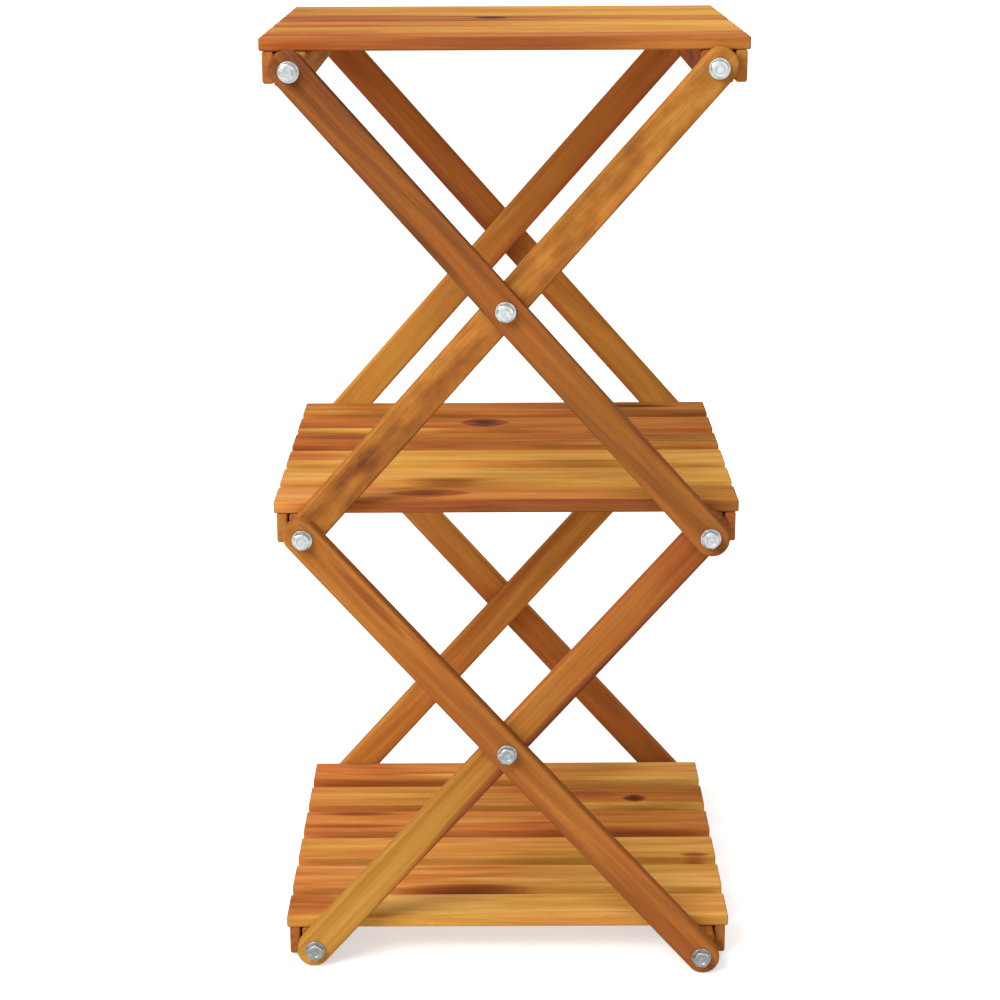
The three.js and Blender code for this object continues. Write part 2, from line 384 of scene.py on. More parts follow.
    def blend(self, share: Value, first: Value, second: Value) -> bpy.types.NodeSocket:
        """A mix of two colours."""
        return self.add("Mix", {0: share, 6: first, 7: second}, data_type="RGBA").outputs[2]

    def ramp(self, value: Value, colours: Sequence[Sequence[float]]) -> bpy.types.NodeSocket:
        """A colour that runs evenly through the colours as the value goes from 0 to 1.

        Args:
            value: Where along the colours.
            colours: Linear colours, two or more.

        Returns:
            The colour as a socket.
        """
        node = self.add("ValToRGB", {0: value})
        stops = node.color_ramp.elements
        for i in range(len(stops), len(colours)):
            stops.new(i / len(colours))
        for i, colour in enumerate(colours):
            stops[i].position = i / (len(colours) - 1)
            stops[i].color = colour
        return node.outputs[0]

    def bump(self, height: Value, distance: float, strength: float) -> bpy.types.NodeSocket:
        """Surface normals from a height."""
        inputs = {"Height": height, "Distance": distance, "Strength": strength}
        return self.add("Bump", inputs).outputs[0]


@dataclass(frozen=True)
class Mark:
    """A streak, smudge or band of painted shade on a board: darker where its change is below 0 and paler
    above.

    Places are shares of half the board's length and width, from -1 to 1, and sizes are in metres. Its
    redness is added to the board's own.
    """

    along: float
    across: float
    length: float
    width: float
    change: float
    red: float = 0


@dataclass(frozen=True)
class Knot:
    """An eye in the grain, dark and reddish, with a darker middle. Places are as a mark's."""

    along: float
    across: float
    length: float
    width: float
    dark: float


@dataclass(frozen=True)
class Acacia:
    """The wood of one board, with its looks at its left end and at its right end.

    Paleness runs from 0, dark heartwood, to 1, pale sapwood, and redness from 0, golden, to 1, reddish.
    """

    pale: tuple[float, float]
    red: tuple[float, float]
    seed: float
    streaks: float = 0.11
    rings: float = 0.05
    clouds: float = 0.0
    marks: tuple[Mark, ...] = ()
    knots: tuple[Knot, ...] = ()

    SEED_STEP = (1.7, 3.1, 0.9)  # how far the grain moves for each step of the seed
    PITH_ACROSS = 40 * MM  # the furthest that the middle of the tree was to one side
    PITH_DEPTHS = (35 * MM, 20 * MM)  # how far below it was, and by how much that varies
    LOG_LEANS = (0.02, 0.025)  # radians that the log leans over, and at most sideways
    WAVER_REACH = 2.5 * MM
    WAVE_SHARE = 0.6  # how much of the waver moves marks and knots
    RING_SCALES = (110, 620)  # of broad and fine rings
    FINE_RINGS = 0.5  # strength, as a share of the broad rings'
    BAND_SHARE = 0.7  # of the streaks' strength
    DRIFT_SHARE = 2.5  # of the streaks' strength, for redness
    FIBRE_SWAY = 0.025
    EYE_CORE = 0.55  # the share of a knot that is fully dark
    EYE_DARK = 0.7
    CORE_DARK = 0.5
    CORE_SIZE = 0.5  # the darker middle's size, as a share of the knot's
    UNEVEN = (0.35, 0.6, 0.7, 1.3)  # streaks between the first two scale marks by the last two
    PORE_SPAN = (0.66, 0.76)  # of the noise, from no pore to a full one
    PORE_DARK = 0.3
    END_DEPTHS = (1.6 * MM, 0.2 * MM)  # where a cut end starts to darken, and is darkest
    END_DARK = 0.35
    ROUGHNESS = (0.58, 0.7)
    SPECULAR = 0.01
    BUMP_HEIGHT = 0.12 * MM
    BUMP_STRENGTH = 0.3

    def material(self, name: str, place: "Place", size: Vector) -> bpy.types.Material:
        """Makes the board's material, with grain along its length through the whole solid.

        Args:
            name: The material's name.
            place: Where the board is and how it is turned.
            size: Its length, width and depth.

        Returns:
            The material.
        """
        sheet = Sheet(name)
        board = sheet.place(place.centre, place.turn)
        start = Vector(self.SEED_STEP) * self.seed
        moved = sheet.add("VectorMath", {0: board, 1: start}, operation="ADD").outputs[0]
        paleness, redness, fibre = self.looks(sheet, board, moved, size)
        pores = self.pores(sheet, moved)
        golden = sheet.ramp(paleness, [tone.golden for tone in Tone])
        reddish = sheet.ramp(paleness, [tone.reddish for tone in Tone])
        colour = sheet.blend(redness, golden, reddish)
        colour = sheet.blend(sheet.math("MULTIPLY", pores, self.PORE_DARK), colour, Tone.PLUM.reddish)
        colour = sheet.blend(self.end_grain(sheet, board, size), colour, Tone.UMBER.reddish)
        height = sheet.math("SUBTRACT", fibre, pores)
        return sheet.finish({
            "Base Color": colour,
            "Roughness": sheet.spread(fibre, *self.ROUGHNESS),
            "Specular IOR Level": self.SPECULAR,
            "Normal": sheet.bump(height, self.BUMP_HEIGHT, self.BUMP_STRENGTH),
        })

    def looks(
        self, sheet: Sheet, board: bpy.types.NodeSocket, moved: bpy.types.NodeSocket, size: Vector
    ) -> tuple[bpy.types.NodeSocket, bpy.types.NodeSocket, bpy.types.NodeSocket]:
        """Works out how pale and how red the wood is at each point.

        Args:
            sheet: The material's nodes.
            board: Coordinates about the board's middle.
            moved: The same, moved so that no two boards share their grain.
            size: The board's length, width and depth.

        Returns:
            The paleness, the redness and the fine fibres on their own.
        """
        waver = sheet.sway(sheet.grain(moved, Grain.WAVER), self.WAVER_REACH)
        over, sideways = self.LOG_LEANS
        lean = (0, over, sideways * math.sin(self.seed))
        log = sheet.frame_at(board, self.pith(), scale=(FLATTEN, 1, 1), turn=lean)
        radius = sheet.add("VectorMath", {0: log}, operation="LENGTH").outputs["Value"]
        radius = sheet.math("ADD", radius, waver)
        flow = sheet.add("VectorMath", {0: board, 1: self.wavy(sheet, waver)}, operation="ADD").outputs[0]
        along = sheet.add("SeparateXYZ", {0: board}).outputs[0]
        ends = (-size.x / 2, size.x / 2)
        streak = sheet.grain(moved, Grain.STREAKS)
        fibre = sheet.grain(moved, Grain.FIBRES)
        broad, fine = (sheet.noise_along(radius, scale) for scale in self.RING_SCALES)
        paleness = [
            sheet.ease(along, *ends, *self.pale),
            sheet.sway(sheet.grain(moved, Grain.BANDS), self.streaks * self.BAND_SHARE),
            sheet.sway(streak, self.streaks),
            sheet.sway(broad, self.rings),
            sheet.sway(fine, self.rings * self.FINE_RINGS),
            sheet.sway(fibre, self.FIBRE_SWAY),
        ]
        redness = [
            sheet.ease(along, *ends, *self.red),
            sheet.sway(sheet.grain(moved, Grain.DRIFT), self.streaks * self.DRIFT_SHARE),
        ]
        if self.clouds:
            paleness.append(sheet.sway(sheet.grain(moved, Grain.CLOUDS), self.clouds))
        for knot in self.knots:
            centre = self.spot_centre(knot, size)
            eye = sheet.spot(flow, centre, knot.length, knot.width, core=self.EYE_CORE)
            core = sheet.spot(flow, centre, knot.length * self.CORE_SIZE, knot.width * self.CORE_SIZE)
            paleness.append(sheet.math("MULTIPLY", eye, -knot.dark * self.EYE_DARK))
            paleness.append(sheet.math("MULTIPLY", core, -knot.dark * self.CORE_DARK))
            redness.append(eye)
        uneven = sheet.ease(streak, *self.UNEVEN)
        for mark in self.marks:
            lens = sheet.spot(flow, self.spot_centre(mark, size), mark.length, mark.width)
            lens = sheet.math("MULTIPLY", lens, uneven)
            paleness.append(sheet.math("MULTIPLY", lens, mark.change))
            redness.append(sheet.math("MULTIPLY", lens, mark.red))
        return sheet.total(*paleness), sheet.total(*redness), fibre

    def pith(self) -> Vector:
        """Where the middle of the tree was, seen from the board's middle."""
        depth, change = self.PITH_DEPTHS
        across = self.PITH_ACROSS * math.sin(3 * self.seed)
        return Vector((0, across, -depth - change * math.cos(2 * self.seed)))

    def wavy(self, sheet: Sheet, waver: bpy.types.NodeSocket) -> bpy.types.NodeSocket:
        """The waver as a shift across the board."""
        return sheet.add("CombineXYZ", {1: sheet.math("MULTIPLY", waver, self.WAVE_SHARE)}).outputs[0]

    @staticmethod
    def spot_centre(spot: Mark | Knot, size: Vector) -> Vector:
        """The middle of a mark or knot, from the board's middle."""
        return Vector((spot.along * size.x / 2, spot.across * size.y / 2, 0))

    def pores(self, sheet: Sheet, moved: bpy.types.NodeSocket) -> bpy.types.NodeSocket:
        """Short dark vessels along the grain."""
        return sheet.ease(sheet.grain(moved, Grain.PORES), *self.PORE_SPAN)

    def end_grain(self, sheet: Sheet, board: bpy.types.NodeSocket, size: Vector) -> bpy.types.NodeSocket:
        """The share of the darker colour that the cut ends take, where they soak up more oil."""
        along = sheet.math("ABSOLUTE", sheet.add("SeparateXYZ", {0: board}).outputs[0])
        return sheet.ease(along, *(size.x / 2 - depth for depth in self.END_DEPTHS), 0, self.END_DARK)


@dataclass(frozen=True)
class Metal:
    """A plain metal with faint mottling."""

    light: int
    dark: int
    roughness: float
    grain: float = 260
    smoother: float = 0.03
    rougher: float = 0.04

    def material(self, name: str) -> bpy.types.Material:
        """Makes the metal's material, duller where it is paler.

        Args:
            name: The material's name.

        Returns:
            The material.
        """
        sheet = Sheet(name)
        mottle = sheet.noise(sheet.place((0, 0, 0)), self.grain, detail=2)
        pale = sheet.spread(mottle, 0, 1)
        return sheet.finish({
            "Base Color": sheet.blend(pale, linear(self.dark), linear(self.light)),
            "Roughness": sheet.spread(mottle, self.roughness - self.smoother, self.roughness + self.rougher),
            "Metallic": 1,
        })


ZINC = Metal(light=0xB6BBB9, dark=0x9CA1A1, roughness=0.33)
BRASS = Metal(light=0xD9B266, dark=0xA87E3C, roughness=0.34)

SLAT_WOODS: dict[Tier, tuple[Acacia, ...]] = {
    Tier.TOP: (
        Acacia((0.45, 0.52), (0.88, 0.76), 1.1, marks=(
            Mark(-0.3, -1, 0.25, 5 * MM, -0.1, 0.3),)),
        Acacia((0.57, 0.71), (0.34, 0.05), 2.3),
        Acacia((0.48, 0.77), (0.73, 0.0), 3.7),
        Acacia((0.33, 0.54), (1.0, 0.47), 4.2, knots=(Knot(-0.06, 0, 17 * MM, 20 * MM, 0.6),)),
        Acacia((0.52, 0.76), (0.69, 0.0), 5.9),
        Acacia((0.52, 0.76), (0.15, 0.0), 6.4),
    ),
    Tier.MIDDLE: (
        Acacia((0.8, 0.51), (0.99, 0.37), 7.8, marks=(
            Mark(0.1, -1, 0.22, 6 * MM, -0.4, 0.1),), knots=(Knot(-0.33, 0.05, 38 * MM, 13 * MM, 0.55),)),
        Acacia((0.84, 0.8), (0.37, 0.0), 8.3, marks=(Mark(-0.27, -0.75, 45 * MM, 12 * MM, -0.4),)),
        Acacia((0.77, 0.74), (0.07, 0.22), 9.1, marks=(
            Mark(-1, 0, 80 * MM, 30 * MM, -0.3, 0.9), Mark(0.35, -0.8, 60 * MM, 9 * MM, -0.3, -0.2))),
        Acacia((0.46, 0.46), (0.78, 0.7), 10.6, streaks=0.13, rings=0.08, marks=(
            Mark(0.85, 0, 60 * MM, 20 * MM, -0.06, -0.6),)),
        Acacia((0.46, 0.49), (0.86, 0.65), 11.2, marks=(Mark(-0.7, -1, 0.1, 6 * MM, 0.25, -0.8),), knots=(
            Knot(-0.1, 0.0, 26 * MM, 18 * MM, 0.55),)),
        Acacia((0.55, 0.36), (0.52, 0.55), 12.9, marks=(Mark(0.68, 0.2, 48 * MM, 8 * MM, -0.45, -0.3),)),
    ),
    Tier.BOTTOM: (
        Acacia((1.0, 0.78), (0.0, 0.22), 13.4, marks=(
            Mark(-1, 0.2, 105 * MM, 40 * MM, -0.62, 0.9), Mark(0, -1, 2, 4 * MM, -0.14),
            Mark(-0.62, -0.8, 60 * MM, 8 * MM, -0.2))),
        Acacia((0.73, 0.87), (0.96, 0.4), 14.7, marks=(
            Mark(-0.1, -0.4, 90 * MM, 7 * MM, 0.22, -0.5), Mark(-0.2, -1, 75 * MM, 7 * MM, -0.42, 0.3),
            Mark(-0.15, 0.6, 60 * MM, 8 * MM, -0.15, 0.4))),
        Acacia((0.7, 0.78), (0.67, 0.25), 15.2, marks=(
            Mark(0.9, -0.85, 18 * MM, 6 * MM, -0.45, 0.6), Mark(0.25, -0.8, 80 * MM, 10 * MM, -0.2, -0.3))),
        Acacia((0.71, 0.58), (1.0, 0.82), 16.8, streaks=0.12, marks=(
            Mark(-0.74, 0.75, 48 * MM, 8 * MM, -0.4), Mark(-0.8, -0.6, 80 * MM, 9 * MM, -0.35, 0.1),
            Mark(0.55, -1, 0.11, 9 * MM, -0.2, 0.1))),
        Acacia((0.72, 0.48), (0.63, 0.45), 17.5, knots=(Knot(0.65, -0.4, 13 * MM, 10 * MM, 0.55),),
               marks=(Mark(0.42, 0, 42 * MM, 17 * MM, -0.14, 0.3), Mark(0.7, -1, 0.12, 7 * MM, 0.3, -0.8))),
        Acacia((0.55, 0.81), (0.92, 0.23), 18.1, marks=(
            Mark(-0.25, -0.4, 80 * MM, 7 * MM, 0.25, -0.5), Mark(-0.5, -1, 0.12, 6 * MM, -0.2))),
    ),
}
ARM_WOODS: dict[str, Acacia] = {
    "lower_outer_arm_front": Acacia((0.42, 0.37), (0.58, 0.73), 19.3, streaks=0.06, marks=(
        Mark(-0.66, 0.35, 55 * MM, 6 * MM, -0.2, 0.4),)),
    # Its first mark is a darker, redder band along the whole lower edge: painted shade where the rounded
    # lower edge turns from the light, over a reddish heartwood strip.
    "lower_inner_arm_front": Acacia((0.63, 0.39), (0.0, 0.8), 20.2, streaks=0.06, marks=(
        Mark(0.1, -1, 0.3, 9 * MM, -0.3, 0.8), Mark(0.9, 0, 80 * MM, 24 * MM, -0.1, 0.4))),
    "upper_outer_arm_front": Acacia((0.2, 0.33), (0.77, 0.56), 21.6, streaks=0.05),
    "upper_inner_arm_front": Acacia((0.38, 0.48), (0.43, 0.3), 22.9, streaks=0.07, clouds=0.1, marks=(
        Mark(-0.61, -0.1, 26 * MM, 15 * MM, -0.18, 0.15), Mark(-0.68, 0.4, 30 * MM, 9 * MM, -0.2, 0.3),
        Mark(-0.3, -0.4, 60 * MM, 9 * MM, -0.15, 0.2))),
    "lower_outer_arm_back": Acacia((0.76, 0.36), (0.47, 0.77), 23.1, streaks=0.08),
    "lower_inner_arm_back": Acacia((0.52, 0.57), (0.48, 0.62), 24.8, streaks=0.08),
    # The marks on the two upper back arms are darker, redder bands along the lower edge over most of the
    # length: painted shade on their lower rims.
    "upper_outer_arm_back": Acacia((0.32, 0.6), (0.89, 0.04), 25.3, streaks=0.06, marks=(
        Mark(0.4, -1, 0.35, 11 * MM, -0.15, 0.7),)),
    "upper_inner_arm_back": Acacia((0.7, 0.51), (0.0, 0.86), 26.2, streaks=0.06, marks=(
        Mark(0.4, -1, 0.35, 11 * MM, -0.15, 0.5),)),
}
RAIL_WOODS: dict[str, Acacia] = {
    "rail_bottom_left": Acacia((0.4, 0.44), (0.5, 0.5), 27.4),
    "rail_bottom_right": Acacia((0.36, 0.4), (0.6, 0.5), 28.8),
    "rail_middle_left": Acacia((0.4, 0.44), (0.5, 0.5), 29.9),
    "rail_middle_right": Acacia((0.56, 0.5), (0.3, 0.4), 30.1),
    "rail_top_left": Acacia((0.54, 0.5), (0.4, 0.4), 31.7),
    "rail_top_right": Acacia((0.36, 0.4), (0.8, 0.7), 32.3),
}
BATTEN_WOODS: dict[str, Acacia] = {
    "bottom_shelf_batten_left": Acacia((0.4, 0.44), (0.5, 0.5), 33.3),
    "bottom_shelf_batten_right": Acacia((0.58, 0.56), (0.2, 0.2), 34.2),
    "middle_shelf_batten_left": Acacia((0.58, 0.54), (0.3, 0.3), 35.6),
    "middle_shelf_batten_right": Acacia((0.54, 0.54), (0.8, 0.7), 36.4),
    "top_shelf_batten_left": Acacia((0.54, 0.54), (0.6, 0.5), 37.1),
    "top_shelf_batten_right": Acacia((0.66, 0.62), (0.2, 0.2), 38.7),
}


# ---------------------------------------------------------------------------------------------------
# Modelling by hand
# ---------------------------------------------------------------------------------------------------


@dataclass(frozen=True)
class Place:
    """Where a bar's middle is, and the turn that brings X along the bar and Y across its face."""

    centre: Vector
    turn: Euler

    @property
    def matrix(self) -> Matrix:
        """The place as a matrix."""
        return Matrix.Translation(self.centre) @ self.turn.to_matrix().to_4x4()

    def own(self, point: Vector) -> Vector:
        """A point of the row frame, as seen from the bar."""
        return self.matrix.inverted() @ point


def measured(node: str, turn: Euler) -> tuple[Place, Vector]:
    """Measures a CAD bar along its own directions.

    Args:
        node: The CAD node's name.
        turn: The turn that brings X along the bar and Y across its face.

    Returns:
        Its place, and its length, width and depth.
    """
    back = turn.to_matrix().inverted()
    points = [back @ vertex.co for vertex in frame["nodes"][node].data.vertices]
    low = Vector([min(p[i] for p in points) for i in range(3)])
    high = Vector([max(p[i] for p in points) for i in range(3)])
    return Place(turn.to_matrix() @ ((low + high) / 2), turn), high - low


class Bench:
    """Operator calls that the pieces share, each on the piece at hand."""

    @staticmethod
    def clear() -> None:
        """Leaves nothing selected."""
        bpy.ops.object.select_all(action="DESELECT")

    @staticmethod
    def take(piece: bpy.types.Object) -> None:
        """Selects one piece alone and makes it the active one."""
        Bench.clear()
        piece.select_set(True)
        bpy.context.view_layer.objects.active = piece

    @staticmethod
    def settle(name: str) -> bpy.types.Object:
        """Names the new piece and moves its place into its mesh.

        Args:
            name: The name of the piece and of its mesh.

        Returns:
            The piece.
        """
        piece = bpy.context.object
        piece.name = piece.data.name = name
        bpy.ops.object.transform_apply(location=True, rotation=True, scale=True)
        return piece

    @staticmethod
    def block(name: str, size: Vector, centre: Sequence[float] = (0, 0, 0)) -> bpy.types.Object:
        """A block.

        Args:
            name: The piece's name.
            size: Its length along X, Y and Z.
            centre: Its middle.

        Returns:
            The new piece.
        """
        Bench.clear()
        bpy.ops.mesh.primitive_cube_add(size=1, location=centre)
        bpy.context.object.scale = size
        return Bench.settle(name)

    @staticmethod
    def rod(
        name: str,
        radius: float,
        low: float,
        high: float,
        sides: int,
        at: Sequence[float] = (0, 0),
        top_radius: float | None = None,
    ) -> bpy.types.Object:
        """A round or tapered rod along Z.

        Args:
            name: The piece's name.
            radius: Its radius at the low end.
            low: The height of its low end.
            high: The height of its high end.
            sides: The number of its sides.
            at: Where its axis is, as X and Y.
            top_radius: Its radius at the high end, if that is another one.

        Returns:
            The new piece.
        """
        Bench.clear()
        bpy.ops.mesh.primitive_cone_add(
            vertices=sides,
            radius1=radius,
            radius2=radius if top_radius is None else top_radius,
            depth=high - low,
            location=(at[0], at[1], (low + high) / 2),
        )
        return Bench.settle(name)

    @staticmethod
    def pick(piece: bpy.types.Object, parts: Part, test: EdgeTest | FaceTest) -> None:
        """Starts editing with just the edges or faces selected that pass a test.

        Args:
            piece: The piece to edit.
            parts: Whether edges or faces are picked.
            test: Says of one of them whether it is picked.
        """
        Bench.take(piece)
        bpy.ops.object.mode_set(mode="EDIT")
        bpy.ops.mesh.select_mode(type=parts.value)
        bpy.ops.mesh.select_all(action="DESELECT")
        mesh = bmesh.from_edit_mesh(piece.data)
        for part in mesh.edges if parts is Part.EDGES else mesh.faces:
            if test(part):
                part.select_set(True)
        bmesh.update_edit_mesh(piece.data)

    @staticmethod
    def done() -> None:
        """Ends the editing."""
        bpy.ops.object.mode_set(mode="OBJECT")

    @staticmethod
    def round_edges(piece: bpy.types.Object, radius: float, steps: int, test: EdgeTest) -> None:
        """Rounds the edges that pass a test.

        Args:
            piece: The piece to edit.
            radius: The radius that they get.
            steps: The number of faces across each rounding.
            test: Says of an edge whether it is rounded.
        """
        Bench.pick(piece, Part.EDGES, test)
        bpy.ops.mesh.bevel(offset=radius, segments=steps, profile=0.5, affect="EDGES")
        bpy.ops.mesh.select_all(action="SELECT")
        bpy.ops.mesh.remove_doubles(threshold=MERGE_DISTANCE)
        Bench.done()

    @staticmethod
    def weigh_edges(piece: bpy.types.Object, weight: float, test: EdgeTest) -> None:
        """Sets how much of a bevel's width the edges take that pass a test.

        Args:
            piece: The piece to edit.
            weight: The share of the width, from 0 to 1.
            test: Says of an edge whether it is weighed.
        """
        Bench.pick(piece, Part.EDGES, test)
        bpy.ops.transform.edge_bevelweight(value=weight)
        Bench.done()

    @staticmethod
    def step_face(piece: bpy.types.Object, steps: Sequence[tuple[float, float]], test: FaceTest) -> None:
        """Insets the faces that pass a test by several steps.

        Args:
            piece: The piece to edit.
            steps: How far in and how far out each step goes.
            test: Says of a face whether it is inset.
        """
        Bench.pick(piece, Part.FACES, test)
        for inward, outward in steps:
            bpy.ops.mesh.inset(thickness=inward, depth=outward)
        Bench.done()

    @staticmethod
    def apply(piece: bpy.types.Object, kind: str, **settings: object) -> None:
        """Adds a modifier to the piece and applies it.

        Args:
            piece: The piece that takes it.
            kind: The modifier's type.
            **settings: Its properties.
        """
        Bench.take(piece)
        modifier = piece.modifiers.new(kind.lower(), kind)
        for key, setting in settings.items():
            setattr(modifier, key, setting)
        bpy.ops.object.modifier_apply(modifier=modifier.name)

    @staticmethod
    def cut(piece: bpy.types.Object, *cutters: bpy.types.Object, operation: str = "DIFFERENCE") -> None:
        """Cuts the piece with cutters that stand apart, in one go, and removes them.

        Args:
            piece: The piece to cut.
            *cutters: What it is cut with.
            operation: The boolean's operation.
        """
        cutter = Bench.join("cutter", cutters) if len(cutters) > 1 else cutters[0]
        Bench.apply(piece, "BOOLEAN", operation=operation, solver="EXACT", object=cutter)
        bpy.data.objects.remove(cutter)

    @staticmethod
    def join(name: str, pieces: Sequence[bpy.types.Object]) -> bpy.types.Object:
        """Joins pieces into the first of them, and names it.

        Args:
            name: The joined piece's name.
            pieces: What is joined.

        Returns:
            The joined piece.
        """
        Bench.take(pieces[0])
        for piece in pieces:
            piece.select_set(True)
        bpy.ops.object.join()
        pieces[0].name = pieces[0].data.name = name
        return pieces[0]

    @staticmethod
    def smooth(piece: bpy.types.Object) -> None:
        """Shades round parts smoothly and keeps the broad faces flat.

        Args:
            piece: The piece to shade.
        """
        Bench.take(piece)
        bpy.ops.object.shade_smooth_by_angle(angle=SMOOTH_ANGLE)
        Bench.apply(piece, "WEIGHTED_NORMAL", keep_sharp=True)

    @staticmethod
    def copy(master: bpy.types.Object, name: str, place: Matrix) -> bpy.types.Object:
        """Copies a master piece to a place, which goes into the copy's own mesh.

        Args:
            master: The piece to copy.
            name: The copy's name.
            place: Where the master's origin goes, and its turn.

        Returns:
            The copy.
        """
        Bench.take(master)
        bpy.ops.object.duplicate(linked=False)
        bpy.context.object.matrix_world = place
        return Bench.settle(name)

    @staticmethod
    def move(piece: bpy.types.Object, place: Matrix) -> bpy.types.Object:
        """Moves a piece to a place, which goes into its mesh.

        Args:
            piece: The piece to move.
            place: Where its origin goes, and its turn.

        Returns:
            The piece.
        """
        Bench.take(piece)
        piece.matrix_world = place
        return Bench.settle(piece.name)

    @staticmethod
    def dress(piece: bpy.types.Object, material: bpy.types.Material, slot: str) -> None:
        """Gives the piece its one material.

        Args:
            piece: The piece to dress.
            material: Its material.
            slot: The record's slot; not used.
        """
        piece.data.materials.clear()
        piece.data.materials.append(material)

    @staticmethod
    def stand_for(piece: bpy.types.Object, node: str) -> None:
        """Lets the piece ride where a CAD node rides, and hides that node.

        Args:
            piece: The finished piece.
            node: The CAD node's name.
        """
        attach(piece, BODY_OF[node])
        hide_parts(node)
        LOG.info("%s stands for %s on %s", piece.name, node, BODY_OF[node])


def runs_along(edge: bmesh.types.BMEdge, axis: int) -> bool:
    """Whether an edge is parallel to an axis."""
    direction = edge.verts[1].co - edge.verts[0].co
    return abs(direction[axis]) > ALONG * direction.length


def lies_at(edge: bmesh.types.BMEdge, axis: int, distance: float) -> bool:
    """Whether an edge lies across an axis, this far from the middle to either side."""
    first, second = (vertex.co[axis] for vertex in edge.verts)
    return abs(first - second) < MERGE_DISTANCE and abs(abs(first) - distance) < MERGE_DISTANCE


def looks_up(face: bmesh.types.BMFace) -> bool:
    """Whether a face looks up."""
    return face.normal.z > FACING


def looks_down(face: bmesh.types.BMFace) -> bool:
    """Whether a face looks down."""
    return face.normal.z < -FACING


def turned(*angles: float) -> Matrix:
    """A turn about X, then Y, then Z, as a matrix."""
    return Euler(angles).to_matrix().to_4x4()


def middle(node: str) -> Vector:
    """The middle of a CAD node's box."""
    low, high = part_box(node)
    return (low + high) / 2


# ---------------------------------------------------------------------------------------------------
# Bars
# ---------------------------------------------------------------------------------------------------


@dataclass
class Bar:
    """A square-ended bar of wood, modelled along X about the origin."""

    size: Vector
    ease: float = 2 * MM
    end_ease: float = 1.6 * MM
    ease_steps: int = 4

    def model(self, name: str) -> bpy.types.Object:
        """Models the bar with its long edges and its ends rounded.

        Args:
            name: The piece's name.

        Returns:
            The new piece.
        """
        bar = Bench.block(name, self.size)
        Bench.weigh_edges(bar, 1, lambda edge: runs_along(edge, 0))
        Bench.weigh_edges(bar, self.end_ease / self.ease, lambda edge: not runs_along(edge, 0))
        Bench.apply(bar, "BEVEL", width=self.ease, segments=self.ease_steps, limit_method="WEIGHT")
        return bar


@dataclass
class Arm:
    """A round-ended arm, modelled along X about the origin, with its outer face towards +Z."""

    size: Vector
    bores: tuple[float, ...]
    pocket_depth: float = 0
    ease: float = 2.5 * MM
    bore_radius: float = 4.3 * MM
    pocket_radius: float = 6.3 * MM
    end_steps: int = 14
    ease_steps: int = 5
    bore_sides: int = 48

    def model(self, name: str) -> bpy.types.Object:
        """Models the arm with its bores and, on an inner arm, the insert's pocket.

        Args:
            name: The piece's name.

        Returns:
            The new piece.
        """
        arm = Bench.block(name, self.size)
        nearly_half = self.size.y / 2 - MERGE_DISTANCE / 4  # the hair that is left is merged away
        Bench.round_edges(arm, nearly_half, self.end_steps, lambda edge: runs_along(edge, 2))
        Bench.round_edges(arm, self.ease, self.ease_steps, lambda edge: lies_at(edge, 2, self.size.z / 2))
        past = self.size.z / 2 + CUT_PAST
        cutters = [
            Bench.rod("bore", self.bore_radius, -past, past, self.bore_sides, (x, 0)) for x in self.bores
        ]
        if self.pocket_depth:
            bottom = self.size.z / 2 - self.pocket_depth
            cutters.append(Bench.rod("pocket", self.pocket_radius, bottom, past, self.bore_sides))
        Bench.cut(arm, *cutters)
        Bench.smooth(arm)
        return arm


# ---------------------------------------------------------------------------------------------------
# Screws
# ---------------------------------------------------------------------------------------------------


@dataclass
class Thread:
    """A raised helix round a core, along Z."""

    core: float
    crest: float
    pitch: float
    low: float
    high: float
    steps: int = 20

    MERGE = 0.001 * MM  # of the coil's points, where one turn meets the next

    def model(self) -> bpy.types.Object:
        """Models the helix as a closed three-sided coil.

        Returns:
            The new piece.
        """
        radius = (self.crest - self.core) * 2 / 3  # a triangle is one and a half radii high
        Bench.clear()
        bpy.ops.mesh.primitive_circle_add(
            vertices=3,
            radius=radius,
            fill_type="NOTHING",
            location=(self.crest - radius, 0, self.low + radius),
            rotation=(QUARTER_TURN, QUARTER_TURN, 0),
        )
        coil = Bench.settle("thread")
        turns = int((self.high - self.low - 2 * radius) / self.pitch)
        Bench.apply(
            coil,
            "SCREW",
            axis="Z",
            angle=math.tau,
            screw_offset=self.pitch,
            iterations=turns,
            steps=self.steps,
            render_steps=self.steps,
            use_merge_vertices=True,
            merge_threshold=self.MERGE,
        )
        Bench.pick(coil, Part.EDGES, lambda edge: edge.is_boundary)
        bpy.ops.mesh.fill()
        bpy.ops.mesh.select_all(action="SELECT")
        bpy.ops.mesh.normals_make_consistent(inside=False)
        Bench.done()
        return coil


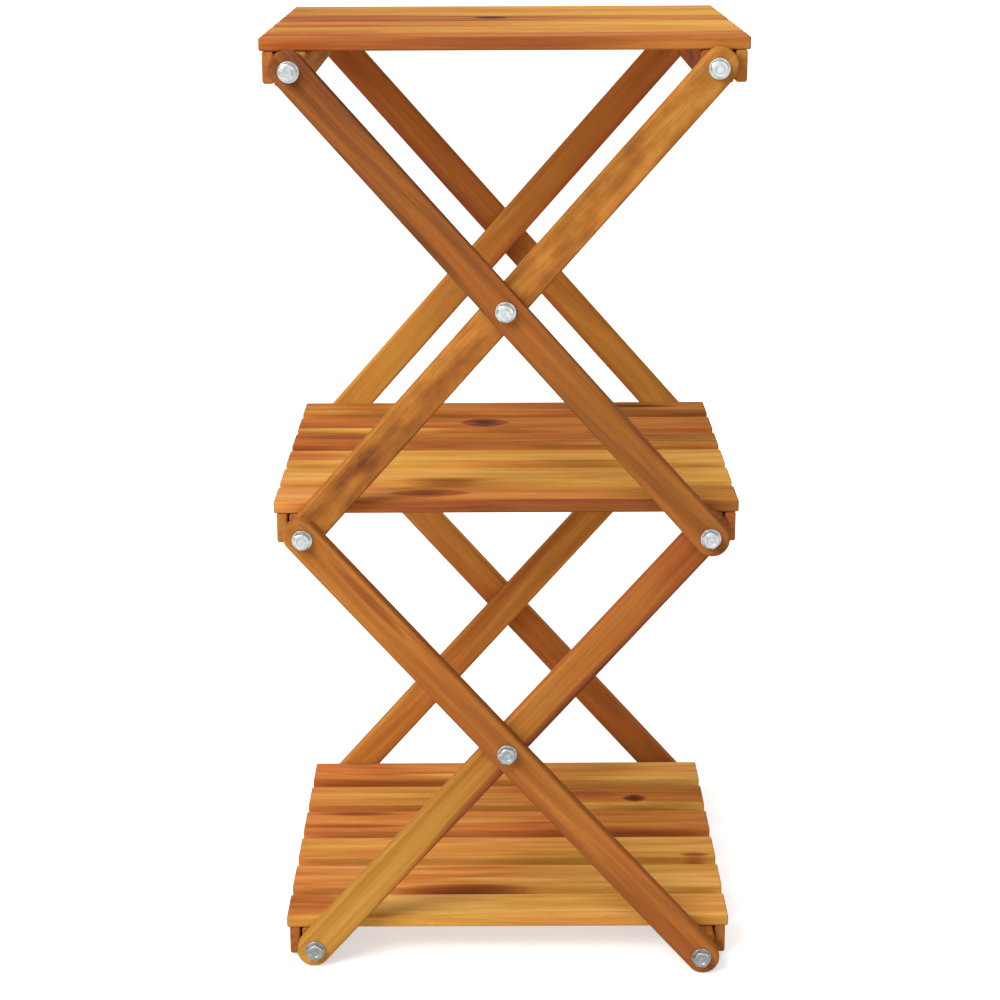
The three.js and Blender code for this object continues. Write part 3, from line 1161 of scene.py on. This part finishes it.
@dataclass
class HexScrew:
    """A hexagon-headed screw on a washer. The washer lies on Z = 0 and the head stands up from it."""

    length: float
    point: Point
    across_flats: float = 13 * MM
    head_height: float = 5.3 * MM
    crown: float = 6.1 * MM
    crown_rise: float = 0.12 * MM
    ease: float = 0.35 * MM
    ease_steps: int = 3
    into_head: float = 0.2 * MM
    shank: float = 4 * MM
    core: float = 3.2 * MM
    step: float = 0.6 * MM
    washer_radius: float = 8.3 * MM
    washer_bore: float = 4.2 * MM
    washer_height: float = 1.6 * MM
    chamfer: float = math.radians(30)
    sides: int = 64

    CORNERS = 6
    RIM = 0.6  # radians between two faces, from which the washer's edge is rounded

    @property
    def top(self) -> float:
        """Height of the head's top face."""
        return self.washer_height + self.head_height

    @property
    def thread_start(self) -> float:
        """Height, below the washer, where the shank narrows to the thread's core."""
        return self.point.thread_length - self.length

    def model(self, name: str) -> bpy.types.Object:
        """Models the screw from its head, washer, shank and thread.

        Args:
            name: The piece's name.

        Returns:
            The new piece.
        """
        screw = Bench.join(name, [self.head(), self.washer(), self.stem(), self.thread()])
        Bench.smooth(screw)
        return screw

    def head(self) -> bpy.types.Object:
        """A hexagonal head with its corners turned off and a dished top.

        Returns:
            The new piece.
        """
        corner = self.across_flats / 2 / math.cos(math.pi / self.CORNERS)
        flat = self.top - self.crown_rise
        head = Bench.rod("head", corner, self.washer_height, flat + CUT_PAST, self.CORNERS)
        Bench.round_edges(head, self.ease, self.ease_steps, lambda edge: runs_along(edge, 2))
        base = self.washer_height - CUT_PAST
        skirt = self.crown + (flat - base) / math.tan(self.chamfer)
        cone = Bench.rod("cone", skirt, base, flat, self.sides, top_radius=self.crown)
        Bench.cut(head, cone, operation="INTERSECT")
        dish = [  # how far in and how far up each step goes
            (0.15 * MM, self.crown_rise * 0.65),
            (0.2 * MM, self.crown_rise * 0.35),
            (0.25 * MM, 0),
            (1.9 * MM, -0.12 * MM),
            (0.35 * MM, -0.4 * MM),
            (1.5 * MM, -0.18 * MM),
            (0.5 * MM, 0.16 * MM),
        ]
        Bench.step_face(head, dish, looks_up)
        return head

    def washer(self) -> bpy.types.Object:
        """A flat washer with soft edges.

        Returns:
            The new piece.
        """
        washer = Bench.rod("washer", self.washer_radius, 0, self.washer_height, self.sides)
        bore = Bench.rod("bore", self.washer_bore, -CUT_PAST, self.washer_height + CUT_PAST, self.sides)
        Bench.cut(washer, bore)
        Bench.apply(
            washer,
            "BEVEL",
            width=self.ease,
            segments=self.ease_steps,
            limit_method="ANGLE",
            angle_limit=self.RIM,
        )
        return washer

    def stem(self) -> bpy.types.Object:
        """The plain shank, the thinner core under the thread, and the point.

        Returns:
            The new piece.
        """
        high = self.washer_height + self.into_head
        stem = Bench.rod("stem", self.shank, self.thread_start, high, self.sides // 2)
        core_length = self.point.thread_length - self.step - self.point.taper
        steps = [
            (self.shank - self.core, self.step),
            (0, core_length),
            (self.core * self.point.sharpness, self.point.taper),
        ]
        Bench.step_face(stem, steps, looks_down)
        return stem

    def thread(self) -> bpy.types.Object:
        """The thread along the core."""
        low = self.point.taper - self.length
        return Thread(self.core, self.shank, self.point.pitch, low, self.thread_start - self.step).model()


@dataclass
class SlatScrew:
    """A small countersunk screw with a cross recess. Its head's top is at Z = 0, and it runs down."""

    length: float = 31 * MM
    head_radius: float = 3.4 * MM
    head_height: float = 2.1 * MM
    shank: float = 1.75 * MM
    core: float = 1.25 * MM
    pitch: float = 1.5 * MM
    taper: float = 4 * MM
    sharpness: float = 0.8
    plain_share: float = 0.3  # of the length, that has no thread
    stem_drop: float = 0.7  # from the head's top to the stem's, as a share of the head's height
    recess_width: float = 0.75 * MM
    recess_length: float = 1.2  # as a share of the head's radius
    recess_depth: float = 0.75  # as a share of the head's height
    ease: float = 0.08 * MM
    ease_steps: int = 2
    sides: int = 32
    thread_steps: int = 12

    RIM = 0.5  # radians between two faces, from which the head's edge is rounded
    RECESS_NARROWING = (0.45, 0.8, 1)  # of the recess's bottom

    @property
    def head_slope(self) -> float:
        """How much the head narrows on its way down."""
        return (self.head_radius - self.core) / self.head_height

    def model(self, name: str) -> bpy.types.Object:
        """Models the screw from its head, shank and thread.

        Args:
            name: The piece's name.

        Returns:
            The new piece.
        """
        head = Bench.rod("head", self.core, -self.head_height, 0, self.sides, top_radius=self.head_radius)
        for turn in (0, QUARTER_TURN):
            Bench.cut(head, self.recess(turn))
        Bench.apply(
            head,
            "BEVEL",
            width=self.ease,
            segments=self.ease_steps,
            limit_method="ANGLE",
            angle_limit=self.RIM,
        )
        low = self.taper - self.length
        stem = Bench.rod("stem", self.core, low, -self.head_height * self.stem_drop, self.sides // 2)
        Bench.step_face(stem, [(self.core * self.sharpness, self.taper)], looks_down)
        thread_top = -self.length * self.plain_share
        thread = Thread(self.core, self.shank, self.pitch, low, thread_top, self.thread_steps)
        screw = Bench.join(name, [head, stem, thread.model()])
        Bench.smooth(screw)
        return screw

    def recess(self, turn: float) -> bpy.types.Object:
        """The cutter for one arm of the cross recess, narrower at its bottom.

        Args:
            turn: The arm's turn about Z.

        Returns:
            The new piece.
        """
        deep = self.head_height * self.recess_depth
        size = Vector((self.head_radius * self.recess_length, self.recess_width, deep + CUT_PAST))
        cutter = Bench.block("recess", size, (0, 0, (CUT_PAST - deep) / 2))
        Bench.pick(cutter, Part.FACES, looks_down)
        bpy.ops.transform.resize(value=self.RECESS_NARROWING)
        Bench.done()
        return Bench.move(cutter, Matrix.Rotation(turn, 4, "Z"))


# ---------------------------------------------------------------------------------------------------
# Pieces that are modelled once and copied
# ---------------------------------------------------------------------------------------------------


class Masters:
    """The pieces that are copied, and the metals that they share."""

    HEAD_TURN = 0.4  # radians between one hexagon and the next, as the CAD model leaves them
    SCREW_SINK = 0.3 * MM  # of a small screw's head below the batten's face
    PILOT_RADIUS = 1.3 * MM
    CLEARANCE_RADIUS = 1.9 * MM
    COUNTERSINK_RADIUS = 3.7 * MM
    PILOT_SPARE = 0.3 * MM
    HOLE_SIDES = 24

    def __init__(self) -> None:
        """Makes the metals and models the small screw, the slat and the batten."""
        self.zinc = ZINC.material("zinc_steel")
        self.brass = BRASS.material("brass")
        self.hex_screws: dict[tuple[Point, int], bpy.types.Object] = {}
        self.slat_screw = SlatScrew()
        self.small_screw = self.slat_screw.model("slat_screw_master")
        self.slat = self.drilled_slat()
        self.batten = self.drilled_batten()

    def drilled_slat(self) -> bpy.types.Object:
        """A slat with a blind pilot hole over each batten.

        Returns:
            The master piece.
        """
        place, size = measured("top_shelf_slat_1", Euler())
        slat = Bar(size).model("slat_master")
        batten_low, batten_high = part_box("top_shelf_batten_left")
        depth = self.slat_screw.length + self.SCREW_SINK + batten_low.z - batten_high.z
        under = -size.z / 2
        top = under + depth + self.PILOT_SPARE
        places = [middle(f"top_shelf_batten_{hand.value}").x - place.centre.x for hand in Hand]
        pilots = [
            Bench.rod("pilot", self.PILOT_RADIUS, under - CUT_PAST, top, self.HOLE_SIDES, (x, 0))
            for x in places
        ]
        Bench.cut(slat, *pilots)
        Bench.smooth(slat)
        return slat

    def drilled_batten(self) -> bpy.types.Object:
        """A batten with a countersunk hole under each slat.

        Returns:
            The master piece.
        """
        place, size = measured("top_shelf_batten_left", Euler((0, 0, QUARTER_TURN)))
        batten = Bar(size).model("batten_master")
        past = size.z / 2 + CUT_PAST
        under = self.SCREW_SINK - size.z / 2
        narrowing = self.COUNTERSINK_RADIUS - self.CLEARANCE_RADIUS
        seat = narrowing / self.slat_screw.head_slope
        holes = []
        for i in range(Shelf.SLATS):
            at = (place.own(middle(f"top_shelf_slat_{i + 1}")).x, 0)
            hole = Bench.rod("hole", self.COUNTERSINK_RADIUS, -past, under, self.HOLE_SIDES, at)
            steps = [(narrowing, seat), (0, past - under - seat)]
            Bench.step_face(hole, steps, looks_up)
            holes.append(hole)
        Bench.cut(batten, *holes)
        Bench.smooth(batten)
        return batten

    def place_hex_screw(self, node: str, side: Side, point: Point, index: int) -> None:
        """Puts a hexagon-headed screw in the place of its CAD node.

        Args:
            node: The CAD node's name.
            side: Whether its head faces the front or the back.
            point: How its shank ends.
            index: Which of the stand's pivots it is on, which gives its head's turn.
        """
        low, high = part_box(node)
        top = HexScrew(0, point).top
        length = high.y - low.y - top
        key = (point, round(length / MM))
        if key not in self.hex_screws:
            self.hex_screws[key] = HexScrew(length, point).model(f"hex_screw_master_{key[1]}")
        seat = low.y + top if side is Side.FRONT else high.y - top
        centre = (low + high) / 2
        turn = turned(-side.outwards * QUARTER_TURN, 0, 0) @ turned(0, 0, index * self.HEAD_TURN)
        place = Matrix.Translation((centre.x, seat, centre.z)) @ turn
        piece = Bench.copy(self.hex_screws[key], node + "_steel", place)
        Bench.dress(piece, self.zinc, "zinc_steel")
        Bench.stand_for(piece, node)

    def discard(self) -> None:
        """Removes the masters once everything is copied."""
        for master in (self.slat, self.batten, self.small_screw, *self.hex_screws.values()):
            bpy.data.objects.remove(master)


# ---------------------------------------------------------------------------------------------------
# Sub-assemblies
# ---------------------------------------------------------------------------------------------------


@dataclass
class Shelf:
    """A slatted shelf: slats across two battens, screwed on from below."""

    tier: Tier

    SLATS = 6
    SCREW_TURN = 0.7  # radians from one cross recess to the next

    def build(self, masters: Masters) -> None:
        """Makes the shelf's slats, battens and screws.

        Args:
            masters: The pieces to copy.
        """
        for i in range(self.SLATS):
            self.place_bar(self.slat(i), Euler(), masters.slat, SLAT_WOODS[self.tier][i], "slat_wood")
        for hand in Hand:
            node = f"{self.tier.value}_shelf_batten_{hand.value}"
            turn = Euler((0, 0, QUARTER_TURN))
            self.place_bar(node, turn, masters.batten, BATTEN_WOODS[node], "batten_wood")
            self.place_screws(node, masters)

    def slat(self, index: int) -> str:
        """The CAD name of a slat, counted from the front."""
        return f"{self.tier.value}_shelf_slat_{index + 1}"

    @staticmethod
    def place_bar(node: str, turn: Euler, master: bpy.types.Object, wood: Acacia, slot: str) -> None:
        """Puts a copy of a bar in the place of its CAD node.

        Args:
            node: The CAD node's name.
            turn: The turn that brings X along the bar.
            master: The bar to copy.
            wood: Its wood.
            slot: The record's slot.
        """
        place, size = measured(node, turn)
        piece = Bench.copy(master, node + "_wood", place.matrix)
        Bench.dress(piece, wood.material(node, place, size), slot)
        Bench.stand_for(piece, node)

    def place_screws(self, batten: str, masters: Masters) -> None:
        """Puts a screw up through the batten into each slat, and joins them as one piece.

        Args:
            batten: The CAD name of the batten.
            masters: The pieces to copy.
        """
        low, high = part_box(batten)
        screws = []
        for i in range(self.SLATS):
            turn = turned(math.pi, 0, self.SCREW_TURN * i)
            foot = Vector(((low.x + high.x) / 2, middle(self.slat(i)).y, low.z + masters.SCREW_SINK))
            screws.append(Bench.copy(masters.small_screw, "slat_screw", Matrix.Translation(foot) @ turn))
        row = Bench.join(batten + "_screws", screws)
        Bench.dress(row, masters.zinc, "zinc_steel")
        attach(row, BODY_OF[batten])
        LOG.info("%s added on %s", row.name, BODY_OF[batten])


@dataclass
class Scissor:
    """Two crossed arms at the front and two at the back, with the bolts that they turn on."""

    label: str
    below: Tier
    above: Tier
    index: int

    INSERT_PLAY = 0.3 * MM

    def build(self, masters: Masters) -> None:
        """Makes the arms and the crossing bolts, and gives the inserts their finish.

        Args:
            masters: The pieces to copy, and the metals.
        """
        for side in Side:
            for lean in Lean:
                self.place_arm(lean, side)
            bolt = f"{self.label}_crossing_bolt_{side.value}"
            masters.place_hex_screw(bolt, side, Point.MACHINE, self.index)
            insert = frame["nodes"][self.insert(side)]
            insert.data.materials.clear()
            insert.data.materials.append(masters.brass)
            LOG.info("%s stays as packed, in brass", insert.name)

    def insert(self, side: Side) -> str:
        """The CAD name of the threaded insert on a side."""
        return f"{self.label}_threaded_insert_{side.value}"

    def place_arm(self, lean: Lean, side: Side) -> None:
        """Models one arm between its pivots, in the place of its CAD node.

        Args:
            lean: Which of the two crossed arms.
            side: Whether it is at the front or at the back.
        """
        node = f"{self.label}_{lean.value}_arm_{side.value}"
        low = middle(f"pivot_screw_{self.below.value}_{lean.low_hand.value}_{side.value}")
        high = middle(f"pivot_screw_{self.above.value}_{lean.high_hand.value}_{side.value}")
        tilt = math.atan2(high.z - low.z, abs(high.x - low.x))
        place, size = measured(node, Euler((QUARTER_TURN, lean.sense * tilt, 0)))
        ends = tuple(place.own(Vector((p.x, place.centre.y, p.z))).x for p in (low, high))
        if lean is Lean.OUTER:
            arm = Arm(size, (*ends, 0))
        else:
            mouth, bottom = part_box(self.insert(side))
            arm = Arm(size, ends, bottom.y - mouth.y + self.INSERT_PLAY)
        piece = arm.model(node + "_wood")
        turned_over = Matrix.Rotation(math.pi if side is Side.BACK else 0, 4, "X")
        Bench.move(piece, place.matrix @ turned_over)
        Bench.dress(piece, ARM_WOODS[node].material(node, place, size), "arm_wood")
        Bench.stand_for(piece, node)


@dataclass
class Rail:
    """A square rail from front to back with a screw in each end."""

    tier: Tier
    hand: Hand
    index: int
    ease: float = 2.5 * MM
    end_ease: float = 1.2 * MM
    ease_steps: int = 5
    hole_radius: float = 4.15 * MM
    hole_spare: float = 0.15 * MM
    hole_sides: int = 48

    def build(self, masters: Masters) -> None:
        """Makes the rail and its two screws.

        Args:
            masters: The pieces to copy.
        """
        label = f"{self.tier.value}_{self.hand.value}"
        node = "rail_" + label
        place, size = measured(node, Euler((0, 0, QUARTER_TURN)))
        bar = Bar(size, self.ease, self.end_ease, self.ease_steps).model(node + "_wood")
        holes = []
        for side in Side:
            screw = f"pivot_screw_{label}_{side.value}"
            low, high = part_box(screw)
            tip = high.y if side is Side.FRONT else low.y
            bottom = place.own(Vector((0, tip - side.outwards * self.hole_spare, 0))).x
            mouth = side.outwards * (size.x / 2 + CUT_PAST)
            hole = Bench.rod("hole", self.hole_radius, *sorted((bottom, mouth)), self.hole_sides)
            holes.append(Bench.move(hole, Matrix.Rotation(QUARTER_TURN, 4, "Y")))
            masters.place_hex_screw(screw, side, Point.GIMLET, self.index)
        Bench.cut(bar, *holes)
        Bench.smooth(bar)
        Bench.move(bar, place.matrix)
        Bench.dress(bar, RAIL_WOODS[node].material(node, place, size), "rail_wood")
        Bench.stand_for(bar, node)


# ---------------------------------------------------------------------------------------------------
# Studio
# ---------------------------------------------------------------------------------------------------


@dataclass(frozen=True)
class SoftBox:
    """A square area lamp that looks at the stand."""

    name: str
    place: tuple[float, float, float]
    side: float
    watts: float

    def hang(self, target: Vector) -> None:
        """Hangs the lamp and turns it to the target.

        Args:
            target: The point that it looks at.
        """
        place = Vector(self.place)
        bpy.ops.object.light_add(type="AREA", location=place)
        lamp = bpy.context.object
        lamp.name = self.name
        lamp.data.size = self.side
        lamp.data.energy = self.watts
        lamp.rotation_euler = (target - place).to_track_quat("-Z", "Y").to_euler()


@dataclass
class Studio:
    """A pale floor, soft light and the photograph's viewpoint."""

    floor_size: float = 30
    floor_tone: float = 0.8
    floor_roughness: float = 0.9
    floor_gloss: float = 0.1
    ambient: float = 0.32
    near_glow: float = 0.55
    white_from: tuple[float, float] = (0.5, 1.4)  # where the floor starts to turn white, and is white
    eye: tuple[float, float, float] = (-5 * MM, -1952 * MM, 928 * MM)
    tilt: float = math.radians(16.16)
    roll: float = math.radians(-0.23)
    lens: float = 81.97
    lamps: tuple[SoftBox, ...] = (
        SoftBox("key", (-1.7, -1.9, 2.5), 1.9, 100),
        SoftBox("back", (0.5, 2.3, 2.7), 2.2, 38),
        SoftBox("fill", (0.5, -3.2, 0.8), 1.8, 10),
    )

    def build(self) -> None:
        """Lays the floor, hangs the lamps, lights the room and sets up the camera."""
        bpy.context.scene.view_settings.view_transform = "Standard"
        self.lay_floor()
        self.light_room()
        low, high = cad_box
        for lamp in self.lamps:
            lamp.hang((low + high) / 2)
        self.set_camera()

    @staticmethod
    def seen_directly(nodes: bpy.types.Nodes, links: bpy.types.NodeLinks) -> bpy.types.NodeSocket:
        """1 for what the camera sees itself, in metal or through glass, and 0 for other light.

        Args:
            nodes: The nodes of the material or the world.
            links: Their links.

        Returns:
            The number as a socket.
        """
        path = nodes.new("ShaderNodeLightPath")
        result = path.outputs["Is Camera Ray"]
        for ray in ("Is Glossy Ray", "Is Transmission Ray"):
            most = nodes.new("ShaderNodeMath")
            most.operation = "MAXIMUM"
            links.new(result, most.inputs[0])
            links.new(path.outputs[ray], most.inputs[1])
            result = most.outputs[0]
        return result

    def lay_floor(self) -> None:
        """A pale floor with the stand's shadow, which turns to plain white away from the stand.

        The metal mirrors the floor under the stand without its glow, so that its lower edges show.
        """
        Bench.clear()
        bpy.ops.mesh.primitive_plane_add(size=self.floor_size)
        floor = Bench.settle("floor")
        sheet = Sheet("floor")
        seen = self.seen_directly(sheet.nodes, sheet.material.node_tree.links)
        away = sheet.add("VectorMath", {0: sheet.place((0, 0, 0))}, operation="LENGTH").outputs["Value"]
        camera_ray = sheet.add("LightPath", {}).outputs["Is Camera Ray"]
        near = sheet.math("MULTIPLY", camera_ray, self.near_glow)
        glow = sheet.ease(away, *self.white_from, near, 1)
        floor.data.materials.append(sheet.finish({
            "Base Color": (self.floor_tone, self.floor_tone, self.floor_tone, 1),
            "Roughness": self.floor_roughness,
            "Specular IOR Level": self.floor_gloss,
            "Emission Color": (1, 1, 1, 1),
            "Emission Strength": sheet.math("MULTIPLY", seen, glow),
        }))

    def light_room(self) -> None:
        """Even light from all round, behind which the background looks white."""
        world = bpy.data.worlds.new("room")
        bpy.context.scene.world = world
        world.use_nodes = True
        tree = world.node_tree
        background = next(n for n in tree.nodes if n.type == "BACKGROUND")
        background.inputs["Color"].default_value = (1, 1, 1, 1)
        strength = tree.nodes.new("ShaderNodeMapRange")
        strength.inputs["To Min"].default_value = self.ambient
        strength.inputs["To Max"].default_value = 1
        tree.links.new(self.seen_directly(tree.nodes, tree.links), strength.inputs["Value"])
        tree.links.new(strength.outputs[0], background.inputs["Strength"])

    def set_camera(self) -> None:
        """Puts the camera where the photograph was taken from."""
        bpy.ops.object.camera_add()
        camera = bpy.context.object
        camera.name = "camera"
        look = Matrix.Rotation(QUARTER_TURN - self.tilt, 4, "X") @ Matrix.Rotation(self.roll, 4, "Z")
        camera.matrix_world = Matrix.Translation(self.eye) @ look
        camera.data.lens = self.lens
        bpy.context.scene.camera = camera


# ---------------------------------------------------------------------------------------------------
# The stand
# ---------------------------------------------------------------------------------------------------


def main() -> None:
    """Builds the studio and the stand, piece by piece."""
    logging.basicConfig(level=logging.INFO, format="%(message)s")
    Studio().build()
    masters = Masters()
    corners = [(tier, hand) for tier in Tier for hand in Hand]
    for index, (tier, hand) in enumerate(corners):
        Rail(tier, hand, index).build(masters)
    Scissor("lower", Tier.BOTTOM, Tier.MIDDLE, len(corners)).build(masters)
    Scissor("upper", Tier.MIDDLE, Tier.TOP, len(corners) + 1).build(masters)
    for tier in Tier:
        Shelf(tier).build(masters)
    masters.discard()
    Bench.clear()


if __name__ == "__main__":
    main()
